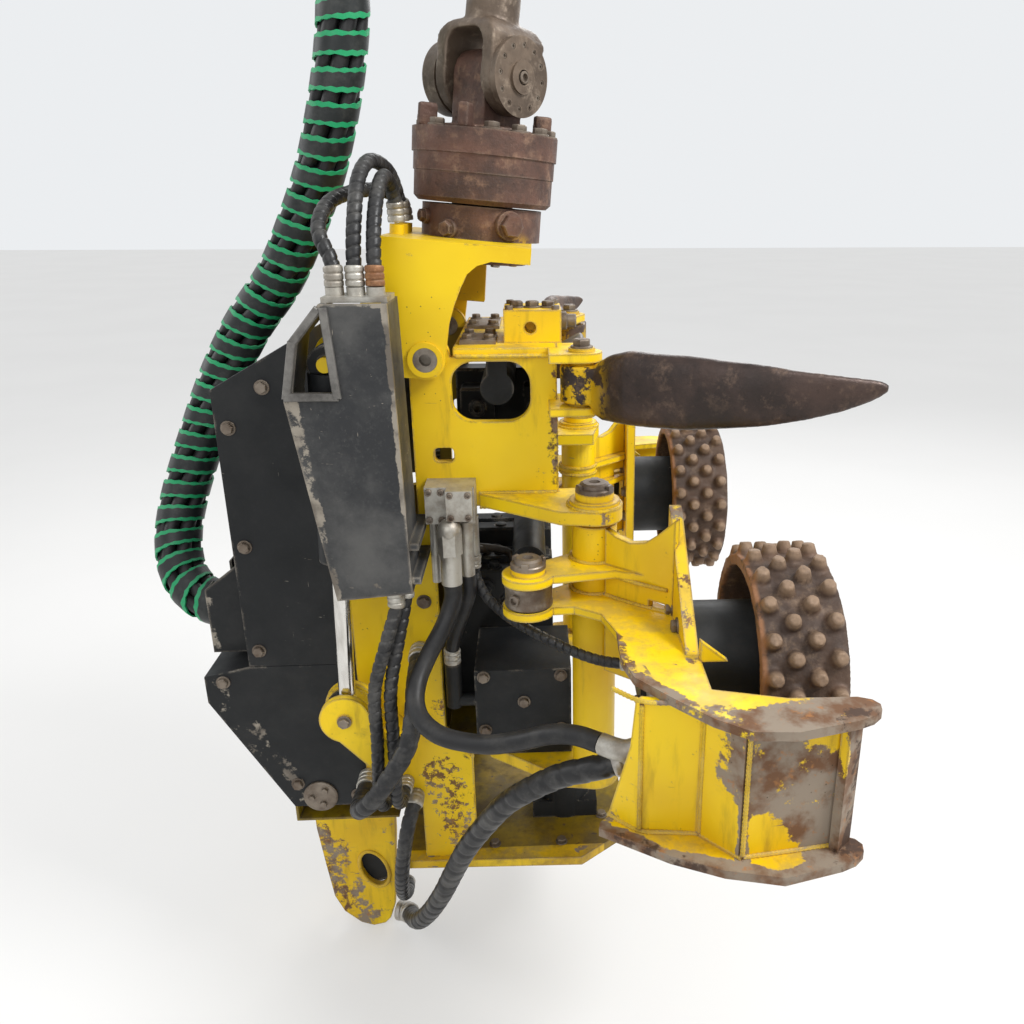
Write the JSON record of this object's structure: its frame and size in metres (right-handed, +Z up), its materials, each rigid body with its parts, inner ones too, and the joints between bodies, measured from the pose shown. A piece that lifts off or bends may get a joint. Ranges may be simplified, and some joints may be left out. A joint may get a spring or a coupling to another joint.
{
  "type": "harvester head",
  "caption": "Forestry harvester head with link, rotator, tilt frame, spiked feed rollers on hydraulic arms, delimbing knives and saw bar.",
  "frame": {"origin": "middle of the crane pin's bore at the top of the link", "axes": "+X toward the side that takes the trunk, +Z up along the trunk, -Y the side that carries the hydraulic hoses"},
  "size_m": [1.2921, 1.5, 2.109],
  "materials": {
    "yellow_paint": "worn",
    "black_paint": "worn",
    "rusty_cast": "rusty",
    "worn_steel": "worn",
    "chrome_rod": "polished",
    "zinc": "satin",
    "rubber": "satin"
  },
  "bodies": {
    "link": {"link_yoke": "worn_steel", "link_brake_covers": "worn_steel", "link_swing_pin": "worn_steel"},
    "rotator": {"rotator_housing": "rusty_cast", "rotator_flanges": "rusty_cast"},
    "tilt_frame": {"fitting_bundle_coupler": "zinc", "rotator_body": "rusty_cast", "tilt_top_plate": "yellow_paint", "tilt_side_near": "yellow_paint", "tilt_side_far": "yellow_paint", "tilt_back_plate": "yellow_paint"},
    "tilt_barrel_near": {"tilt_barrel_near": "black_paint"},
    "tilt_barrel_far": {"tilt_barrel_far": "black_paint"},
    "tilt_rod_near": {"tilt_rod_near": "chrome_rod"},
    "tilt_rod_far": {"tilt_rod_far": "chrome_rod"},
    "feed_arm_near": {"feed_arm_near": "yellow_paint", "arm_channel_near": "yellow_paint", "feed_motor_near": "black_paint", "fitting_arm_near": "zinc"},
    "feed_arm_far": {"feed_arm_far": "yellow_paint", "arm_channel_far": "yellow_paint", "feed_motor_far": "black_paint"},
    "feed_roller_near": {"feed_roller_near": "rusty_cast", "roller_studs_near": "rusty_cast"},
    "feed_roller_far": {"feed_roller_far": "rusty_cast", "roller_studs_far": "rusty_cast"},
    "feed_barrel": {"feed_barrel": "black_paint"},
    "feed_rod": {"feed_rod": "chrome_rod"},
    "knife_near": {"knife_near": "rusty_cast"},
    "knife_far": {"knife_far": "rusty_cast"},
    "saw_bar": {"saw_bar": "worn_steel"},
    "head": {"frame_side_near": "yellow_paint", "frame_side_far": "yellow_paint", "frame_top_plate": "yellow_paint", "frame_cross_plates": "yellow_paint", "frame_shelf": "yellow_paint", "arm_lugs": "yellow_paint", "tilt_pins": "worn_steel", "rod_lugs": "yellow_paint", "knife_lugs": "yellow_paint", "fixed_knife": "rusty_cast", "rear_cover": "black_paint", "rear_lower_cover": "black_paint", "hose_bracket": "black_paint", "guard_near": "black_paint", "guard_far": "black_paint", "saw_box_plate": "yellow_paint", "saw_box_rail": "yellow_paint", "saw_horn": "yellow_paint", "saw_motor": "black_paint", "valve_block": "yellow_paint", "hydraulic_block": "zinc", "inner_valve_box": "black_paint", "inner_knife_cylinder": "black_paint", "fitting_guard_top": "zinc", "hose_bundle": "rubber", "hose_guard_top": "rubber", "hose_guard_foot": "rubber", "hose_arm_near": "rubber", "hose_frame_low": "rubber"}
  },
  "joints": [
    {"name": "link_swing", "type": "hinge", "parent": "link", "child": "rotator", "pos_m": [-0.02781, -0.00628, -0.24837], "axis": [-0.7166, 0.6947, 0.0627], "range_deg": [-30, 30]},
    {"name": "rotator_turn", "type": "hinge", "parent": "rotator", "child": "tilt_frame", "pos_m": [-0.04141, -0.00628, -0.40377], "axis": [0.0872, 0, 0.9962], "continuous": true},
    {"name": "head_tilt", "type": "hinge", "parent": "tilt_frame", "child": "head", "pos_m": [-0.13729, -0.00628, -0.69653], "axis": [0, 1, 0], "range_deg": [0, 60], "deforming": ["hose_bundle", "hose_guard_top"]},
    {"name": "tilt_barrel_near_turn", "type": "hinge", "parent": "tilt_frame", "child": "tilt_barrel_near", "pos_m": [-0.28001, -0.30628, -0.68706], "axis": [0, 1, 0], "range_deg": [-1, 67]},
    {"name": "tilt_rod_near_slide", "type": "slide", "parent": "tilt_barrel_near", "child": "tilt_rod_near", "axis": [-0.0401, 0, -0.9992], "range_m": [-0.12666, 0.001]},
    {"name": "tilt_barrel_far_turn", "type": "hinge", "parent": "tilt_frame", "child": "tilt_barrel_far", "pos_m": [-0.28001, 0.29372, -0.68706], "axis": [0, 1, 0], "range_deg": [-1, 67]},
    {"name": "tilt_rod_far_slide", "type": "slide", "parent": "tilt_barrel_far", "child": "tilt_rod_far", "axis": [-0.0401, 0, -0.9992], "range_m": [-0.12666, 0.001]},
    {"name": "feed_arm_near_turn", "type": "hinge", "parent": "head", "child": "feed_arm_near", "pos_m": [0.14071, -0.28628, -1.14653], "axis": [0, 0, 1], "range_deg": [-12, 25], "deforming": ["hose_arm_near"]},
    {"name": "feed_arm_far_turn", "type": "hinge", "parent": "head", "child": "feed_arm_far", "pos_m": [0.14071, 0.27372, -1.14653], "axis": [0, 0, 1], "range_deg": [-26, 13]},
    {"name": "feed_barrel_turn", "type": "hinge", "parent": "feed_arm_near", "child": "feed_barrel", "pos_m": [0.02571, -0.35628, -1.06803], "axis": [0, 0, 1], "range_deg": [-26, 13]},
    {"name": "feed_rod_slide", "type": "slide", "parent": "feed_barrel", "child": "feed_rod", "axis": [0, 1, 0], "range_m": [-0.04477, 0.09219]},
    {"name": "feed_roller_near_turn", "type": "hinge", "parent": "feed_arm_near", "child": "feed_roller_near", "pos_m": [0.43171, -0.43528, -1.15753], "axis": [1, 0, 0], "continuous": true},
    {"name": "feed_roller_far_turn", "type": "hinge", "parent": "feed_arm_far", "child": "feed_roller_far", "pos_m": [0.43171, 0.42272, -1.15753], "axis": [1, 0, 0], "continuous": true},
    {"name": "knife_near_turn", "type": "hinge", "parent": "head", "child": "knife_near", "pos_m": [0.12071, -0.25628, -0.73553], "axis": [0, 0, 1], "range_deg": [-57, 45]},
    {"name": "knife_far_turn", "type": "hinge", "parent": "head", "child": "knife_far", "pos_m": [0.12071, 0.24372, -0.73553], "axis": [0, 0, 1], "range_deg": [-102, 0]},
    {"name": "saw_bar_turn", "type": "hinge", "parent": "head", "child": "saw_bar", "pos_m": [0.09071, -0.05628, -1.79653], "axis": [0, 0, -1], "range_deg": [0, 120]}
  ],
  "couplings": [
    {"joint": "tilt_barrel_near_turn", "follows": "head_tilt", "ratio": 1.1},
    {"joint": "tilt_barrel_far_turn", "follows": "head_tilt", "ratio": 1.1},
    {"joint": "tilt_rod_near_slide", "follows": "head_tilt", "m_per_rad": -0.12},
    {"joint": "tilt_rod_far_slide", "follows": "head_tilt", "m_per_rad": -0.12},
    {"joint": "feed_arm_far_turn", "follows": "feed_arm_near_turn", "ratio": -1},
    {"joint": "feed_barrel_turn", "follows": "feed_arm_near_turn", "ratio": -1},
    {"joint": "feed_rod_slide", "follows": "feed_arm_near_turn", "m_per_rad": 0.209}
  ]
}
